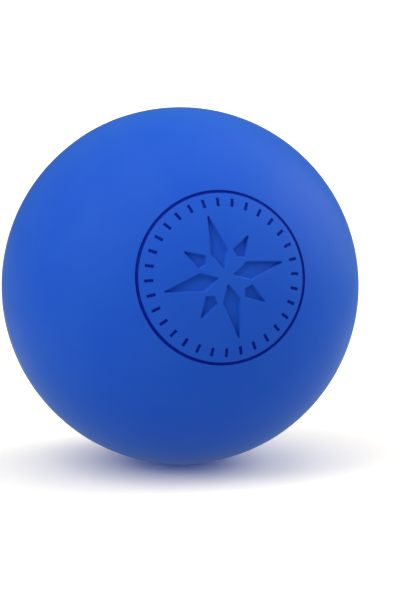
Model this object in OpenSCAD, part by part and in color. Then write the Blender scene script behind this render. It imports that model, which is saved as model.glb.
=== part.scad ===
/* [Ball] */
// Diameter of the ball
ball_d = 63.5; // [50:0.5:90]
// Height of the trimmed flash line round the ball's waist
flash_h = 0.05; // [0.03:0.01:0.15]
// Width of the flash line where it meets the skin
flash_w = 0.6; // [0.4:0.1:1.2]

/* [Mark] */
// Degrees that the mark's axis rises above the level, towards the top of the ball
mark_tilt = 10.5; // [0:0.5:45]
// Degrees that the mark is rolled about its own axis, so that it climbs to the right
mark_roll = 12; // [-45:1:45]
// Radius of the ring line, square to the mark's axis
ring_r = 14.5; // [12.5:0.1:17]

/* [Inked lines] */
// Width of the ring line and of the dashes inside it
line_w = 0.5; // [0.3:0.05:0.8]
// Depth of the grooves that carry the ink
line_depth = 0.4; // [0.3:0.05:0.8]
// Thickness of the ink that fills the grooves from their floors up
ink_t = 0.25; // [0.1:0.01:0.28]
// Number of dashes round the inside of the ring
dash_count = 32; // [12:1:40]
// Length of a dash along its radius
dash_l = 1.4; // [0.6:0.1:2]
// Rubber left between the ring's groove and the dashes
dash_gap = 0.9; // [0.5:0.1:1.5]

/* [Compass rose] */
// Depth of the rose's recesses
rose_depth = 0.85; // [0.3:0.05:1]
// Distance from the dashes inwards to where the edges of a long point would meet
rose_gap = 0.8; // [0.6:0.1:2]
// Distance from the rose's centre to the inner tips of the long points
rose_hub_r = 1.1; // [0.8:0.1:1.6]
// Width of a long point at its widest
long_w = 3.3; // [2:0.1:3.4]
// Width of a short point at its widest
short_w = 2.6; // [1.6:0.1:3]
// Rubber left between a short point and the long points beside it
land_w = 0.65; // [0.4:0.05:1]
// Radius of the recesses' corners, as a cutter leaves them
corner_r = 0.18; // [0.1:0.02:0.25]

/* [Hidden] */
$fn = 128;
ball_r = ball_d / 2;

// One overrun serves every cut that leaves the skin
overrun = 1;

// Straight steps that each rounded corner of a recess is drawn with
corner_steps = 4;

// The dashes and the rose take their places from the ring, working inwards
dash_out_r = ring_r - line_w / 2 - dash_gap;
dash_in_r = dash_out_r - dash_l;
rose_r = dash_in_r - rose_gap;

// How far out a long point is widest, and how far out a short point reaches
long_waist_share = 0.37;
short_reach_share = 0.76;

// A long point's outer edge, from its waist to its tip, as a direction and a distance from the centre
long_waist_r = rose_r * long_waist_share;
edge_angle = atan2(long_w / 2, rose_r - long_waist_r);
edge_reach = rose_r * sin(edge_angle);

// A short point's inner edges run beside the long points' outer edges, one land away
short_spread = 45 + edge_angle;
short_hub_r = (edge_reach + land_w) / sin(short_spread);
short_waist_r = short_hub_r + short_w / 2 / tan(short_spread);
short_r = rose_r * short_reach_share;

rubber_blue = "#1f57c6";
ink_navy = "#001b88";

// The flash line is the cap of a round bead whose section is a circle through its width and height
bead_r = (pow(flash_w / 2, 2) + pow(flash_h, 2)) / (2 * flash_h);

// Turns the mark's own frame, with its axis up +Z and its top towards +Y, to its place on the ball
module at_mark() {
    rotate([90 - mark_tilt, 0, 0])
        rotate([0, 0, mark_roll])
            children();
}

// Everything between two depths under the ball's skin, inside an outline drawn square to the mark's axis
module sunk(from_depth, to_depth) {
    difference() {
        intersection() {
            at_mark()
                linear_extrude(height = ball_r + overrun)
                    children();
            sphere(r = ball_r - from_depth);
        }
        sphere(r = ball_r - to_depth);
    }
}

// A cut from clear of the skin down to one depth
module cut_to(depth) {
    sunk(-overrun, depth) children();
}

// A kite along +X, its corners rounded to the cutter's radius
module kite(hub_r, waist_r, tip_r, waist_w) {
    corners = [[hub_r, 0], [waist_r, -waist_w / 2], [tip_r, 0], [waist_r, waist_w / 2]];
    count = len(corners);
    heading = [
        for (i = [0:count - 1])
            let (edge = corners[(i + 1) % count] - corners[i])
                atan2(edge.y, edge.x)
    ];
    polygon([
        for (i = [0:count - 1])
            let (
                before = heading[(i + count - 1) % count],
                turn = (heading[i] - before + 360) % 360,
                middle = before + turn / 2 + 90,
                centre = corners[i] + corner_r / cos(turn / 2) * [cos(middle), sin(middle)]
            )
                for (step = [0:corner_steps])
                    let (a = before - 90 + turn * step / corner_steps)
                        centre + corner_r * [cos(a), sin(a)]
    ]);
}

module ring_outline() {
    difference() {
        circle(r = ring_r + line_w / 2);
        circle(r = ring_r - line_w / 2);
    }
}

module dash_outlines() {
    for (i = [0:dash_count - 1])
        rotate([0, 0, i * 360 / dash_count])
            translate([dash_in_r, -line_w / 2])
                square([dash_l, line_w]);
}

module rose_outlines() {
    for (quarter = [0:90:270]) {
        rotate([0, 0, quarter])
            kite(rose_hub_r, long_waist_r, rose_r, long_w);
        rotate([0, 0, quarter + 45])
            kite(short_hub_r, short_waist_r, short_r, short_w);
    }
}

// The mould's two halves meet on the great circle square to the mark's axis
module flash_line() {
    at_mark()
        rotate_extrude()
            translate([ball_r + flash_h - bead_r, 0])
                circle(r = bead_r);
}

module ball_body() {
    color(rubber_blue)
        difference() {
            union() {
                sphere(r = ball_r);
                flash_line();
            }
            cut_to(line_depth) ring_outline();
            cut_to(line_depth) dash_outlines();
            cut_to(rose_depth) rose_outlines();
        }
}

module ring_ink() {
    color(ink_navy)
        sunk(line_depth - ink_t, line_depth) ring_outline();
}

module dash_ink() {
    color(ink_navy)
        sunk(line_depth - ink_t, line_depth) dash_outlines();
}

ball_body();
ring_ink();
dash_ink();
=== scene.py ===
from math import atan2, cos, pi, radians, sin, sqrt, tan

import bmesh
import bpy
from mathutils import Matrix, Vector, noise


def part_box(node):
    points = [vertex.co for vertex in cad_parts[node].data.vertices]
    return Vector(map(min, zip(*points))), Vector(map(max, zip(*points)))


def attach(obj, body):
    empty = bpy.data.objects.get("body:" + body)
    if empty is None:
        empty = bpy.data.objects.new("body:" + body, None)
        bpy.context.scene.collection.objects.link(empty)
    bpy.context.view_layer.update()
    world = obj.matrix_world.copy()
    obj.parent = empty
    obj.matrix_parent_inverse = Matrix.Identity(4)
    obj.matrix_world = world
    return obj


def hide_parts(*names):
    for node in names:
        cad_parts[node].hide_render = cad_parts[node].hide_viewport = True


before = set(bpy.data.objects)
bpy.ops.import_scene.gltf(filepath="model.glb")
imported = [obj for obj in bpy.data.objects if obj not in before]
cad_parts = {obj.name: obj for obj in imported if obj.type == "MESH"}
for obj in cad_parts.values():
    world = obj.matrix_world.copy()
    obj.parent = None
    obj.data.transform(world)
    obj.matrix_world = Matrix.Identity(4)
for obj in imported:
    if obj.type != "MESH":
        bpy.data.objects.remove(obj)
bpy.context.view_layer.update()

mm = 0.001
lowCorner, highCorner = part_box("ball_body")
ballRadius = (highCorner.z - lowCorner.z) / 2

# The mark's own frame has its axis up Z and its top towards Y, as the CAD draws it
mark = {
    "tilt": 10.5,                    # degrees that the axis rises above the level
    "roll": 12,                      # degrees that the mark climbs to the right
    "ringRadius": 14.5 * mm,
    "lineWidth": 0.5 * mm,           # of the ring line and of the dashes
    "lineDepth": 0.4 * mm,
    "inkThickness": 0.25 * mm,       # in the middle of a line
    "dashCount": 32,
    "dashLength": 1.4 * mm,
    "dashGap": 0.9 * mm,             # between the ring's groove and the dashes
}
markTilt = Matrix.Rotation(radians(90 - mark["tilt"]), 4, "X")
markTurn = markTilt @ Matrix.Rotation(radians(mark["roll"]), 4, "Z")


def sortParts(bm):
    # Spin and extrude make their edges and faces in no fixed order, so their vertices settle it
    bm.verts.index_update()
    count = len(bm.verts)

    def place(part):
        numbers = [v.index for v in part.verts]
        return min(numbers) * count + max(numbers)

    bm.edges.sort(key=place)
    bm.faces.sort(key=place)


def newPiece(name, bm, material, slot, *nodes):
    # A finished mesh goes from the mark's frame to its place on the ball
    bmesh.ops.transform(bm, matrix=markTurn, verts=bm.verts)
    sortParts(bm)
    mesh = bpy.data.meshes.new(name)
    bm.to_mesh(mesh)
    bm.free()
    mesh.shade_smooth()
    mesh.materials.append(material)
    piece = bpy.data.objects.new(name, mesh)
    bpy.context.scene.collection.objects.link(piece)
    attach(piece, "root")
    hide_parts(*nodes)
    print(name, len(mesh.polygons), "faces")
    return piece


# Materials

def linear(hexColour):
    parts = [int(hexColour[i:i + 2], 16) / 255 for i in (1, 3, 5)]
    return [p / 12.92 if p <= 0.04045 else ((p + 0.055) / 1.055) ** 2.4 for p in parts] + [1]


def addNode(tree, kind, settings=None, values=None, links=None):
    node = tree.nodes.new(kind)
    for name, value in (settings or {}).items():
        setattr(node, name, value)
    for name, value in (values or {}).items():
        node.inputs[name].default_value = value
    for name, source in (links or {}).items():
        tree.links.new(source, node.inputs[name])
    return node


def newMaterial(name):
    material = bpy.data.materials.new(name)
    material.use_nodes = True
    material.node_tree.nodes.clear()
    return material, material.node_tree


# Vulcanised natural rubber, pressed in a polished mould: matte, with a faint bloom
# that clouds the sheen and a fine grain that softens the lights
rubber = {
    "colour": "#2055CA",
    "bloomColour": "#2A5FCA",
    "bloomSize": 9 * mm,
    "bloomFrom": 0.35,               # where the bloom's noise starts to show
    "bloomTo": 0.75,                 # and where it is at its full strength
    "bloomStrength": 0.35,
    "grainSize": 0.25 * mm,          # coarser than the real grain, so that it shows from close by
    "grainHeight": 0.004 * mm,
    "pressSize": 1.6 * mm,           # of the shallow waves that the pressed skin has
    "pressHeight": 0.006 * mm,
    "ior": 1.52,
    "gloss": 0.1,
    "glossTint": (0.4, 0.68, 0.64, 1),
    "roughness": 0.38,
    "roughnessSpread": 0.06,         # how much duller the skin is under the bloom
    "sheen": 0.08,
    "sheenRoughness": 0.5,
    "sheenTint": (0.15, 1, 0.3, 1),
}


def rubberMaterial():
    material, tree = newMaterial("moulded natural rubber")
    place = addNode(tree, "ShaderNodeTexCoord").outputs["Object"]
    bloom = addNode(tree, "ShaderNodeTexNoise",
                    values={"Scale": 1 / rubber["bloomSize"], "Detail": 3, "Roughness": 0.5},
                    links={"Vector": place}).outputs["Fac"]
    patches = addNode(tree, "ShaderNodeMapRange",
                      values={"From Min": rubber["bloomFrom"], "From Max": rubber["bloomTo"]},
                      links={"Value": bloom}).outputs["Result"]
    strength = addNode(tree, "ShaderNodeMath", {"operation": "MULTIPLY"},
                       {1: rubber["bloomStrength"]}, {0: patches}).outputs["Value"]
    colour = addNode(tree, "ShaderNodeMix", {"data_type": "RGBA"},
                     {"A": linear(rubber["colour"]), "B": linear(rubber["bloomColour"])},
                     {"Factor": strength}).outputs["Result"]
    dullest = rubber["roughness"] + rubber["roughnessSpread"]
    rough = addNode(tree, "ShaderNodeMapRange",
                    values={"To Min": rubber["roughness"], "To Max": dullest},
                    links={"Value": patches}).outputs["Result"]
    grain = addNode(tree, "ShaderNodeTexNoise",
                    values={"Scale": 1 / rubber["grainSize"], "Detail": 2},
                    links={"Vector": place}).outputs["Fac"]
    press = addNode(tree, "ShaderNodeTexNoise",
                    values={"Scale": 1 / rubber["pressSize"], "Detail": 2},
                    links={"Vector": place}).outputs["Fac"]
    broad = addNode(tree, "ShaderNodeBump", values={"Distance": rubber["pressHeight"]},
                    links={"Height": press}).outputs["Normal"]
    fine = addNode(tree, "ShaderNodeBump", values={"Distance": rubber["grainHeight"]},
                   links={"Height": grain, "Normal": broad}).outputs["Normal"]
    skin = {
        "IOR": rubber["ior"],
        "Specular IOR Level": rubber["gloss"],
        "Specular Tint": rubber["glossTint"],
        "Sheen Weight": rubber["sheen"],
        "Sheen Roughness": rubber["sheenRoughness"],
        "Sheen Tint": rubber["sheenTint"],
    }
    shader = addNode(tree, "ShaderNodeBsdfPrincipled", values=skin,
                     links={"Base Color": colour, "Roughness": rough, "Normal": fine})
    addNode(tree, "ShaderNodeOutputMaterial", links={"Surface": shader.outputs["BSDF"]})
    return material


# Navy ink, filled into the grooves and wiped: satin, a little uneven
ink = {
    "colour": "#001B88",
    "thinColour": "#08299A",         # where the rubber's blue shines through
    "patchSize": 1.2 * mm,
    "thinFrom": 0.5,                 # where the patches' noise starts to show
    "thinTo": 0.8,                   # and where it is at its full strength
    "unevenHeight": 0.02 * mm,
    "ior": 1.5,
    "gloss": 0.05,
    "roughness": 0.45,
}


def inkMaterial():
    material, tree = newMaterial("filled navy ink")
    place = addNode(tree, "ShaderNodeTexCoord").outputs["Object"]
    patches = addNode(tree, "ShaderNodeTexNoise",
                      values={"Scale": 1 / ink["patchSize"], "Detail": 3},
                      links={"Vector": place}).outputs["Fac"]
    thin = addNode(tree, "ShaderNodeMapRange",
                   values={"From Min": ink["thinFrom"], "From Max": ink["thinTo"]},
                   links={"Value": patches}).outputs["Result"]
    colour = addNode(tree, "ShaderNodeMix", {"data_type": "RGBA"},
                     {"A": linear(ink["colour"]), "B": linear(ink["thinColour"])},
                     {"Factor": thin}).outputs["Result"]
    uneven = addNode(tree, "ShaderNodeBump", values={"Distance": ink["unevenHeight"]},
                     links={"Height": patches}).outputs["Normal"]
    film = {"IOR": ink["ior"], "Specular IOR Level": ink["gloss"], "Roughness": ink["roughness"]}
    shader = addNode(tree, "ShaderNodeBsdfPrincipled", values=film,
                     links={"Base Color": colour, "Normal": uneven})
    addNode(tree, "ShaderNodeOutputMaterial", links={"Surface": shader.outputs["BSDF"]})
    return material


# Ball

ball = {
    "subdivisions": 6,               # of the sphere that it starts from
    "capHeight": 0.86,               # the skin above this share of the radius gets a finer mesh
    "capCuts": 3,                    # across each edge there
    "flashWidth": 0.6 * mm,
    "flashHeight": 0.05 * mm,
    "flashLevels": (-1, -0.6, -0.3, 0, 0.3, 0.6, 1),   # of its edges, in half widths
    "flashTrim": 0.75,               # what the trimming left of its height, on average
    "flashSpread": 0.25,             # and how much more or less it left from place to place
    "flashUneven": 8 * mm,           # how far apart its high and low places are
    "lip": 0.08 * mm,                # radius of the rounded lips
    "lipSteps": 3,
    "footing": 0.08 * mm / 3,        # from a wall's foot to the last edge on the floor beside it
    "merge": 0.0001 * mm,            # closes the seams between the copies of the eighth
    "nearest": 0.006 * mm,           # vertices this near are merged, and cuts this near join them
}

rose = {
    "depth": 0.85 * mm,
    "gap": 0.8 * mm,                 # between the dashes and the long points
    "hubRadius": 1.1 * mm,           # from the centre to the long points
    "longWidth": 3.3 * mm,
    "shortWidth": 2.6 * mm,
    "land": 0.65 * mm,               # rubber left between a short point and a long one
    "corner": 0.18 * mm,
    "cornerSteps": 6,
    "wallRun": 0.25 * mm,            # how far the walls lean in, from lip to foot
    "fillet": 0.08 * mm,             # where the walls meet the floor
    "filletSteps": 2,
    "longWaistShare": 0.37,          # where a long point is widest
    "shortReachShare": 0.76,         # how far out the short points reach
}

# The walls of the ring's and the dashes' grooves
groove = {"wallRun": 0.02 * mm, "corner": 0.06 * mm, "cornerSteps": 3}

dashOuter = mark["ringRadius"] - mark["lineWidth"] / 2 - mark["dashGap"]
dashInner = dashOuter - mark["dashLength"]


def outlineOf(corners, radius, steps):
    # A convex shape's edges and its corners' tangents, each as a direction outwards and a reach
    edges = []
    for i, corner in enumerate(corners):
        before = corner - corners[i - 1]
        after = corners[(i + 1) % len(corners)] - corner
        heading = atan2(before.y, before.x)
        turn = (atan2(after.y, after.x) - heading) % (2 * pi)
        for step in range(1, steps + 1):
            angle = heading - pi / 2 + turn * step / steps
            out = Vector((cos(angle), sin(angle)))
            edges.append((out, out.dot(corner) + radius))
    return {"all": edges, "straight": edges[steps - 1::steps], "radius": radius}


def kiteOutline(hub, waist, tip, width):
    # The four places that a circle of the corner's radius turns round inside a kite
    hubSlope = width / 2 / (waist - hub)
    tipSlope = width / 2 / (tip - waist)
    hub += rose["corner"] * sqrt(1 + hubSlope ** 2) / hubSlope
    tip -= rose["corner"] * sqrt(1 + tipSlope ** 2) / tipSlope
    waist = (hub * hubSlope + tip * tipSlope) / (hubSlope + tipSlope)
    side = (waist - hub) * hubSlope
    places = (hub, 0), (waist, -side), (tip, 0), (waist, side)
    return outlineOf([Vector(p) for p in places], rose["corner"], rose["cornerSteps"])


def dashOutline():
    inset = groove["corner"]
    near, far, side = dashInner + inset, dashOuter - inset, mark["lineWidth"] / 2 - inset
    places = (near, -side), (far, -side), (far, side), (near, side)
    return outlineOf([Vector(p) for p in places], inset, groove["cornerSteps"])


def turned(outline, angle):
    turn = Matrix.Rotation(angle, 2)
    edges = {key: [(turn @ out, reach) for out, reach in outline[key]]
             for key in ("all", "straight")}
    return {**outline, **edges}


def arc(start, end, steps):
    return [start + (end - start) * i / steps for i in range(steps + 1)]


def lipTo(depth, wallRun):
    # How far outside an outline and how far under the skin the edge of a recess passes,
    # from clear of its rounded lip to the top of its leaning wall
    radius, lean = ball["lip"], atan2(wallRun, depth)
    angles = arc(0, pi / 2 - lean, ball["lipSteps"])
    return [(2 * radius, 0)] + [(radius * (1 - sin(a)), radius * (1 - cos(a))) for a in angles]


def grooveEdge():
    depth, run = mark["lineDepth"], groove["wallRun"]
    return lipTo(depth, run) + [(-run, depth), (-run - ball["footing"], depth)]


def roseEdge():
    depth, run, radius = rose["depth"], rose["wallRun"], rose["fillet"]
    fillet = [(-run - radius * (1 - cos(a)), depth - radius * (1 - sin(a)))
              for a in arc(atan2(run, depth), pi / 2, rose["filletSteps"])]
    return lipTo(depth, run) + fillet + [(fillet[-1][0] - ball["footing"], depth)]


def markOutlines():
    # What lies in the eighth of the mark from a long point's middle to a short point's middle
    reach = dashInner - rose["gap"]
    waist = reach * rose["longWaistShare"]
    edgeAngle = atan2(rose["longWidth"] / 2, reach - waist)
    spread = pi / 4 + edgeAngle
    shortHub = (reach * sin(edgeAngle) + rose["land"]) / sin(spread)
    shortWaist = shortHub + rose["shortWidth"] / 2 / tan(spread)
    shortReach = reach * rose["shortReachShare"]
    longKite = kiteOutline(rose["hubRadius"], waist, reach, rose["longWidth"])
    shortKite = kiteOutline(shortHub, shortWaist, shortReach, rose["shortWidth"])
    count = mark["dashCount"]
    dashes = [turned(dashOutline(), 2 * pi * i / count) for i in range(count // 8 + 1)]
    kites = [(longKite, roseEdge()), (turned(shortKite, pi / 4), roseEdge())]
    return kites + [(dash, grooveEdge()) for dash in dashes]


def distanceTo(outline, place):
    return max(out.dot(place) - reach for out, reach in outline["all"])


def dropAt(distance, steps):
    for (outer, high), (inner, low) in zip(steps, steps[1:]):
        if distance > inner:
            return high + (low - high) * max(0, (outer - distance) / (outer - inner))
    return steps[-1][1]


def crossing(first, second, distance):
    # Where two neighbouring edges meet when both are moved out by a distance
    (a, aReach), (b, bReach) = first, second
    aReach, bReach = aReach + distance, bReach + distance
    return Vector((aReach * b.y - bReach * a.y, bReach * a.x - aReach * b.x)) / a.cross(b)


def stretchDistance(place, start, end):
    along = end - start
    share = max(0, min(1, (place - start).dot(along) / along.length_squared))
    return (place - start - along * share).length


def cutPlane(bm, faces, place, out, **options):
    # The parts keep the faces' order, so that every run gives the same mesh
    parts = list(dict.fromkeys(part for f in faces for part in (*f.verts, *f.edges, f)))
    return bmesh.ops.bisect_plane(bm, geom=parts, dist=ball["nearest"],
                                  plane_co=place, plane_no=out, **options)


def measured(face):
    middle = face.calc_center_median().xy
    return middle, max((v.co.xy - middle).length for v in face.verts)


def cutStretch(bm, sizes, start, end):
    # Only the faces that the stretch touches are cut
    touched = [f for f, (middle, radius) in sizes.items()
               if stretchDistance(middle, start, end) < radius]
    if touched:
        out = (end - start).orthogonal().normalized().to_3d()
        made = cutPlane(bm, touched, start.to_3d(), out)["geom"]
        sizes.update((f, measured(f)) for f in made if isinstance(f, bmesh.types.BMFace))


def cutOutline(bm, outline, steps):
    outermost, innermost = steps[0][0], steps[-1][0]
    sizes = {f: measured(f) for f in bm.faces if f.calc_center_median().z > 0}
    sizes = {f: (middle, radius) for f, (middle, radius) in sizes.items()
             if distanceTo(outline, middle) < radius + outermost}
    # Rounded corners shrink to sharp ones where a floor lies further in than their radius
    sharp = max(innermost, -outline["radius"])
    for kind, first, last in (("all", outermost, sharp), ("straight", sharp, innermost)):
        edges = outline[kind] if first > last else []
        for i, edge in enumerate(edges):
            before, after = edges[i - 1], edges[(i + 1) % len(edges)]
            for distance, _ in steps:
                if first >= distance >= last:
                    start = crossing(before, edge, distance)
                    cutStretch(bm, sizes, start, crossing(edge, after, distance))
            cutStretch(bm, sizes, crossing(edge, after, first), crossing(edge, after, last))


def ontoSphere(bm):
    for v in bm.verts:
        v.co = v.co.normalized() * ballRadius


def eighthOfSphere():
    # The eighth lies between two planes through the mark's axis
    bm = bmesh.new()
    bmesh.ops.create_icosphere(bm, subdivisions=ball["subdivisions"], radius=ballRadius)
    cutPlane(bm, bm.faces, (0, 0, 0), (0, 1, 0), clear_inner=True)
    cutPlane(bm, bm.faces, (0, 0, 0), Vector((1, -1, 0)).normalized(), clear_inner=True)
    capEdges = [e for e in bm.edges
                if min(v.co.z for v in e.verts) > ballRadius * ball["capHeight"]]
    bmesh.ops.subdivide_edges(bm, edges=capEdges, cuts=ball["capCuts"], use_grid_fill=True)
    ontoSphere(bm)

    # Level cuts lay edges along the flash line and along the ring's lips, walls and floor
    for level in ball["flashLevels"]:
        cutPlane(bm, bm.faces, (0, 0, level * ball["flashWidth"] / 2), (0, 0, 1))
    for distance, _ in grooveEdge():
        for side in (-1, 1):
            radius = mark["ringRadius"] + side * (mark["lineWidth"] / 2 + distance)
            cutPlane(bm, bm.faces, (0, 0, sqrt(ballRadius ** 2 - radius ** 2)), (0, 0, 1))
    ontoSphere(bm)
    print("an eighth of the ball, with its level cuts,", len(bm.faces), "faces")
    return bm


def cutMark(bm, recesses):
    # Upright cuts lay edges along the lips, walls and floors of the dashes and the rose
    for outline, steps in recesses:
        cutOutline(bm, outline, steps)
    bmesh.ops.remove_doubles(bm, verts=bm.verts, dist=ball["nearest"])
    # The border goes back onto its two planes, one level with X and one halfway to Y
    for v in bm.verts:
        if v.is_boundary:
            if v.co.y < v.co.x / 3:
                v.co.y = 0
            else:
                v.co.x = v.co.y = (v.co.x + v.co.y) / 2
    print("with its upright cuts,", len(bm.faces), "faces")


def sinkMark(bm, recesses):
    # Each recess sinks along the mark's axis, to a floor that follows the ball
    drops = {v: 0 for v in bm.verts}
    ringEdge = grooveEdge()
    for v in bm.verts:
        radius = v.co.xy.length
        if v.co.z > 0 and radius < mark["ringRadius"] + mark["lineWidth"]:
            ringDistance = abs(radius - mark["ringRadius"]) - mark["lineWidth"] / 2
            drops[v] = dropAt(ringDistance, ringEdge)
            for outline, steps in recesses:
                drops[v] = max(drops[v], dropAt(distanceTo(outline, v.co.xy), steps))
            v.co.z = sqrt((ballRadius - drops[v]) ** 2 - radius ** 2)

    # Thin triangles on the skin and on the floors are turned into fuller ones
    upper = [f for f in bm.faces if len(f.verts) > 4 or max(v.co.z for v in f.verts) > 0]
    bmesh.ops.triangulate(bm, faces=upper)
    even = [f for f in bm.faces if len(f.verts) == 3 and len({drops[v] for v in f.verts}) == 1]
    evenSet = set(even)
    inner = [e for e in bm.edges if len(e.link_faces) == 2 and evenSet.issuperset(e.link_faces)]
    bmesh.ops.beautify_fill(bm, faces=even, edges=inner, method="ANGLE")


def wholeBall(bm):
    # The eighth is mirrored, and the quarter turned round the mark's axis
    eighth = bm.verts[:] + bm.edges[:] + bm.faces[:]
    bmesh.ops.mirror(bm, geom=eighth, axis="Y", merge_dist=ball["merge"])
    quarter = bm.verts[:] + bm.edges[:] + bm.faces[:]
    bmesh.ops.spin(bm, geom=quarter, cent=(0, 0, 0), axis=(0, 0, 1), angle=3 * pi / 2,
                   steps=3, use_duplicate=True)
    bmesh.ops.remove_doubles(bm, verts=bm.verts, dist=ball["merge"])
    bmesh.ops.recalc_face_normals(bm, faces=bm.faces)


def raiseFlash(bm):
    # The flash line is left uneven where it was trimmed
    for v in bm.verts:
        if abs(v.co.z) < ball["flashWidth"] / 2:
            rise = 1 - (v.co.z / (ball["flashWidth"] / 2)) ** 2
            uneven = noise.noise(v.co / ball["flashUneven"])
            trim = ball["flashTrim"] + ball["flashSpread"] * uneven
            v.co += v.co.normalized() * ball["flashHeight"] * rise * trim


def makeBall(material):
    recesses = markOutlines()
    bm = eighthOfSphere()
    cutMark(bm, recesses)
    sinkMark(bm, recesses)
    wholeBall(bm)
    raiseFlash(bm)
    return newPiece("rubber_ball", bm, material, "moulded_rubber", "ball_body")


# Ink

inkShape = {
    "levels": (-1, -0.85, -0.6, 0, 0.6, 0.85, 1),   # of the ring's edges, in half widths
    "climb": 4,                      # the power that keeps the middle flat and the rims steep
    "ringSteps": 180,
    "dashCells": 8,                  # along a dash and across it
}


def inkTop(share):
    # From a groove's middle to its walls, which the ink climbs up to the lips
    low = mark["inkThickness"] - mark["lineDepth"]
    return ballRadius + low + (-ball["lip"] - low) * share ** inkShape["climb"]


def makeRingInk(material):
    # A ribbon whose top sinks towards the middle, as wiped ink does, spun round the mark's axis
    bm = bmesh.new()
    floor = ballRadius - mark["lineDepth"]
    corners = [(share, inkTop(share)) for share in inkShape["levels"]] + [(1, floor), (-1, floor)]
    points = []
    for share, height in corners:
        radius = mark["ringRadius"] + share * mark["lineWidth"] / 2
        points.append(bm.verts.new((radius, 0, sqrt(height ** 2 - radius ** 2))))
    section = [bm.edges.new((points[i - 1], points[i])) for i in range(len(points))]
    bmesh.ops.spin(bm, geom=points + section, cent=(0, 0, 0), axis=(0, 0, 1), angle=2 * pi,
                   steps=inkShape["ringSteps"], use_merge=True)
    bmesh.ops.recalc_face_normals(bm, faces=bm.faces)
    return newPiece("ring_line_ink", bm, material, "navy_ink", "ring_ink")


def makeDashInk(material):
    bm = bmesh.new()
    floor = ballRadius - mark["lineDepth"]
    cells = inkShape["dashCells"]
    bmesh.ops.create_grid(bm, x_segments=cells, y_segments=cells, size=0.5)
    bmesh.ops.scale(bm, vec=(mark["dashLength"], mark["lineWidth"], 1), verts=bm.verts)
    bmesh.ops.translate(bm, vec=((dashInner + dashOuter) / 2, 0, 0), verts=bm.verts)
    below = bmesh.ops.extrude_face_region(bm, geom=bm.faces[:])["geom"]
    lower = {v for v in below if isinstance(v, bmesh.types.BMVert)}
    for v in bm.verts:
        height = floor if v in lower else inkTop(v.co.y / (mark["lineWidth"] / 2))
        v.co.z = sqrt(height ** 2 - v.co.x ** 2 - v.co.y ** 2)
    dash = bm.verts[:] + bm.edges[:] + bm.faces[:]
    for i in range(1, mark["dashCount"]):
        copy = bmesh.ops.duplicate(bm, geom=dash)["geom"]
        turn = Matrix.Rotation(2 * pi * i / mark["dashCount"], 3, "Z")
        copied = [v for v in copy if isinstance(v, bmesh.types.BMVert)]
        bmesh.ops.rotate(bm, verts=copied, cent=(0, 0, 0), matrix=turn)
    bmesh.ops.recalc_face_normals(bm, faces=bm.faces)
    return newPiece("dash_ink_fill", bm, material, "navy_ink", "dash_ink")


inkFinish = inkMaterial()
makeBall(rubberMaterial())
makeRingInk(inkFinish)
makeDashInk(inkFinish)


# Studio

studio = {
    "floor": (0.3, 0.3, 0.3, 1),                   # as the ball sees it
    "floorSeen": (1.19, 1.15, 1.02, 1),            # as the camera sees it
    "floorReach": 6,                               # metres from the middle to an edge
    "sky": 0.59,
    "skyShine": 0.11,                              # what the gloss reflects of it
    "skySeen": 1,
    "spread": 50,                                  # degrees that each lamp spans
    "lamps": {                                     # azimuth, elevation and strength
        "left low": (-74, 15, 0.72),
        "left high": (-74, 50, 0.95),
        "right": (76, 30, 0.72),
        "rear low": (106, 15, 0.58),
        "rear high": (106, 50, 0.47),
        "overhead": (-14, 85, 0.43),
    },
    "cardRadius": 4,                               # in ball radii
    "cardHeight": 0.02 * mm,
    "cardBrightness": 0.3,
}


def direction(azimuth, elevation):
    a, e = radians(azimuth), radians(elevation)
    return Vector((sin(a) * cos(e), -cos(a) * cos(e), sin(e)))


def makeFloor():
    bm = bmesh.new()
    bmesh.ops.create_grid(bm, x_segments=1, y_segments=1, size=studio["floorReach"])
    bmesh.ops.translate(bm, vec=(0, 0, lowCorner.z), verts=bm.verts)
    mesh = bpy.data.meshes.new("floor")
    bm.to_mesh(mesh)
    bm.free()
    material, tree = newMaterial("white studio sweep")
    camera = addNode(tree, "ShaderNodeLightPath").outputs["Is Camera Ray"]
    bounce = addNode(tree, "ShaderNodeBsdfDiffuse", values={"Color": studio["floor"]})
    seen = addNode(tree, "ShaderNodeBsdfDiffuse", values={"Color": studio["floorSeen"]})
    both = addNode(tree, "ShaderNodeMixShader",
                   links={0: camera, 1: bounce.outputs["BSDF"], 2: seen.outputs["BSDF"]})
    addNode(tree, "ShaderNodeOutputMaterial", links={"Surface": both.outputs["Shader"]})
    mesh.materials.append(material)
    floor = bpy.data.objects.new("floor", mesh)
    bpy.context.scene.collection.objects.link(floor)


def makeSky():
    world = bpy.data.worlds.new("studio")
    world.use_nodes = True
    tree = world.node_tree
    tree.nodes.clear()
    path = addNode(tree, "ShaderNodeLightPath").outputs
    shine = addNode(tree, "ShaderNodeMix", {"data_type": "FLOAT"},
                    {"A": studio["sky"], "B": studio["skyShine"]},
                    {"Factor": path["Is Glossy Ray"]}).outputs["Result"]
    strength = addNode(tree, "ShaderNodeMix", {"data_type": "FLOAT"},
                       {"B": studio["skySeen"]},
                       {"A": shine, "Factor": path["Is Camera Ray"]}).outputs["Result"]
    light = addNode(tree, "ShaderNodeBackground", values={"Color": (1, 1, 1, 1)},
                    links={"Strength": strength}).outputs["Background"]
    addNode(tree, "ShaderNodeOutputWorld", links={"Surface": light})
    bpy.context.scene.world = world


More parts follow.
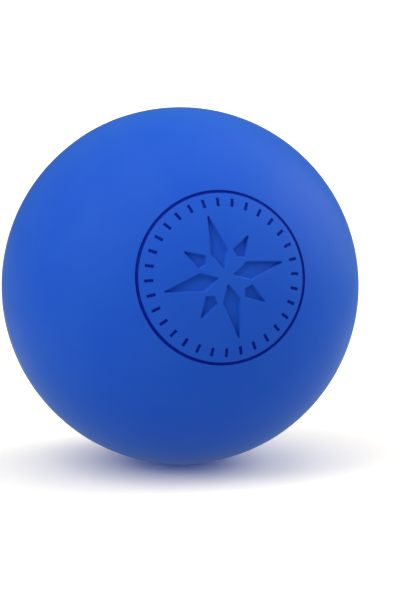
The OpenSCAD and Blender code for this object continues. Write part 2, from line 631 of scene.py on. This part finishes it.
def makeLamp(name, azimuth, elevation, strength):
    data = bpy.data.lights.new(name, "SUN")
    data.energy = strength
    data.angle = radians(studio["spread"])
    lamp = bpy.data.objects.new(name, data)
    towards = direction(azimuth, elevation)
    lamp.location = towards
    lamp.rotation_mode = "QUATERNION"
    lamp.rotation_quaternion = towards.to_track_quat("Z", "Y")
    bpy.context.scene.collection.objects.link(lamp)


def makeCard():
    # A glowing card under the ball, which the camera doesn't see
    radius = studio["cardRadius"] * ballRadius
    data = bpy.data.lights.new("card", "AREA")
    data.shape = "DISK"
    data.size = 2 * radius
    data.energy = studio["cardBrightness"] * (pi * radius) ** 2
    card = bpy.data.objects.new("card", data)
    card.location = (0, 0, lowCorner.z + studio["cardHeight"])
    card.rotation_euler = (pi, 0, 0)
    card.visible_camera = False
    bpy.context.scene.collection.objects.link(card)


# The photograph's ball is a circle in its frame, and its shadow gives the height of the eye
photo = {
    "width": 400,
    "height": 600,
    "ballX": 180.09,
    "ballY": 285.68,
    "outlineRadius": 178.68,
    "azimuth": -14.3,
    "elevation": 8,
    "distance": 15,                                # in ball radii
}


def makeCamera():
    data = bpy.data.cameras.new("camera")
    camera = bpy.data.objects.new("camera", data)
    longSide = max(photo["width"], photo["height"])
    # The outline is where the lines from the eye touch the ball
    outlineSlope = 1 / sqrt(photo["distance"] ** 2 - 1)
    data.lens = photo["outlineRadius"] / outlineSlope * data.sensor_width / longSide
    data.shift_x = (photo["width"] / 2 - photo["ballX"]) / longSide
    data.shift_y = (photo["ballY"] - photo["height"] / 2) / longSide
    away = direction(photo["azimuth"], photo["elevation"])
    camera.location = away * photo["distance"] * ballRadius
    camera.rotation_mode = "QUATERNION"
    camera.rotation_quaternion = away.to_track_quat("Z", "Y")
    bpy.context.scene.collection.objects.link(camera)
    bpy.context.scene.camera = camera


makeFloor()
makeSky()
for name, lamp in studio["lamps"].items():
    makeLamp(name, *lamp)
makeCard()
makeCamera()
bpy.context.scene.view_settings.view_transform = "Standard"
print("floor, sky, camera, a card and", len(studio["lamps"]), "lamps")
